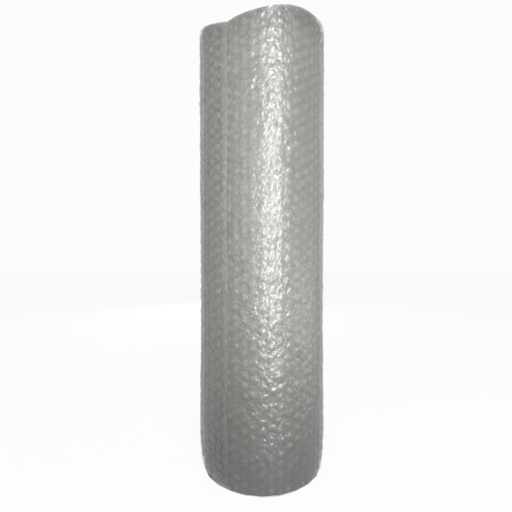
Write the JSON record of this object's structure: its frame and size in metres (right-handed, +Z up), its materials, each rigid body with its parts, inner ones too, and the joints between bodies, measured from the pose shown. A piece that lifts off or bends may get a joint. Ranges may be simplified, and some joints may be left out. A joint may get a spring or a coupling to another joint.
{
  "type": "bubble wrap roll",
  "caption": "Coreless roll of clear cushioning film with bubbles inside and a flat film outside, standing on one end, its free end lying flat.",
  "frame": {"origin": "middle of the foot, on the roll's axis, at the level of the floor", "axes": "+Z up along the roll's axis, -Y towards the viewer, with the free end of the film to the viewer's left of it, +X to the viewer's right"},
  "size_m": [0.145, 0.1431, 0.5],
  "materials": {
    "film": "clear glossy polyethylene film, pale grey where many layers lie together"
  },
  "bodies": {
    "root": {"film_roll": "film"}
  },
  "joints": []
}
